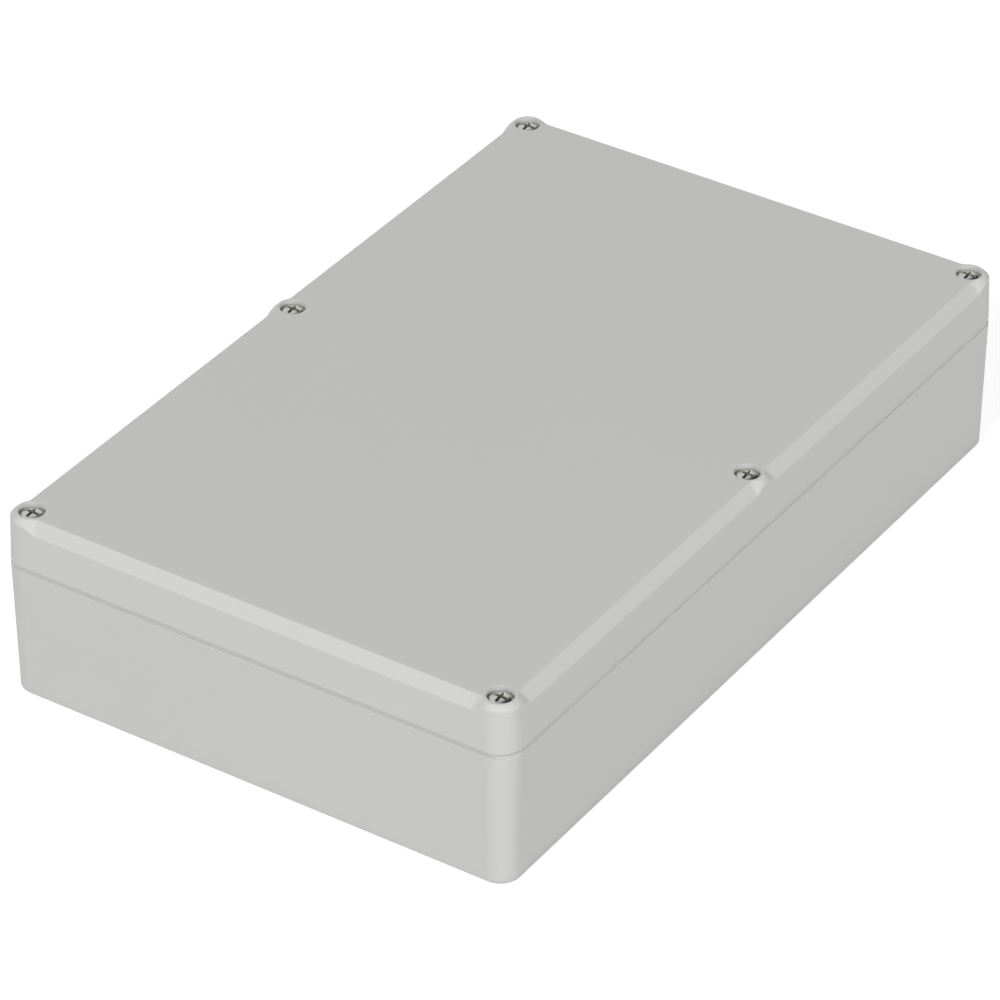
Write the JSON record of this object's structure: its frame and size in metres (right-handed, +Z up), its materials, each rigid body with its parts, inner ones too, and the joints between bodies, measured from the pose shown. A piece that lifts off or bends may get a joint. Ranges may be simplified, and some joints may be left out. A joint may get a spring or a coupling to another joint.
{
  "type": "plastic project box",
  "caption": "Closed light grey moulded enclosure: a deep base and a bevelled lid held by recessed screws over a rubber seal, for housing electronics.",
  "frame": {"origin": "middle of the underside of the closed box", "axes": "+Y along the box's length, +X across its width, +Z up out of the lid"},
  "size_m": [0.18, 0.281, 0.0632],
  "materials": {
    "box_plastic": "fine satin moulded texture, light grey",
    "seal_rubber": "matt black moulded rubber",
    "screw_steel": "plain stainless steel, slightly tarnished",
    "insert_brass": "plain turned brass"
  },
  "bodies": {
    "base": {"base": "box_plastic", "insert_front_left": "insert_brass", "insert_front_right": "insert_brass", "insert_middle_left": "insert_brass", "insert_middle_right": "insert_brass", "insert_back_left": "insert_brass", "insert_back_right": "insert_brass"},
    "lid": {"lid": "box_plastic", "gasket": "seal_rubber"},
    "screw_front_left": {"lid_screw_front_left": "screw_steel"},
    "screw_front_right": {"lid_screw_front_right": "screw_steel"},
    "screw_middle_left": {"lid_screw_middle_left": "screw_steel"},
    "screw_middle_right": {"lid_screw_middle_right": "screw_steel"},
    "screw_back_left": {"lid_screw_back_left": "screw_steel"},
    "screw_back_right": {"lid_screw_back_right": "screw_steel"}
  },
  "joints": [
    {"name": "lid_lift", "type": "slide", "parent": "base", "child": "lid", "axis": [0, 0, 1], "range_m": [0, 0.1]},
    {"name": "screw_front_left_out", "type": "slide", "parent": "lid", "child": "screw_front_left", "axis": [0, 0, 1], "range_m": [0, 0.012]},
    {"name": "screw_front_right_out", "type": "slide", "parent": "lid", "child": "screw_front_right", "axis": [0, 0, 1], "range_m": [0, 0.012]},
    {"name": "screw_middle_left_out", "type": "slide", "parent": "lid", "child": "screw_middle_left", "axis": [0, 0, 1], "range_m": [0, 0.012]},
    {"name": "screw_middle_right_out", "type": "slide", "parent": "lid", "child": "screw_middle_right", "axis": [0, 0, 1], "range_m": [0, 0.012]},
    {"name": "screw_back_left_out", "type": "slide", "parent": "lid", "child": "screw_back_left", "axis": [0, 0, 1], "range_m": [0, 0.012]},
    {"name": "screw_back_right_out", "type": "slide", "parent": "lid", "child": "screw_back_right", "axis": [0, 0, 1], "range_m": [0, 0.012]}
  ]
}
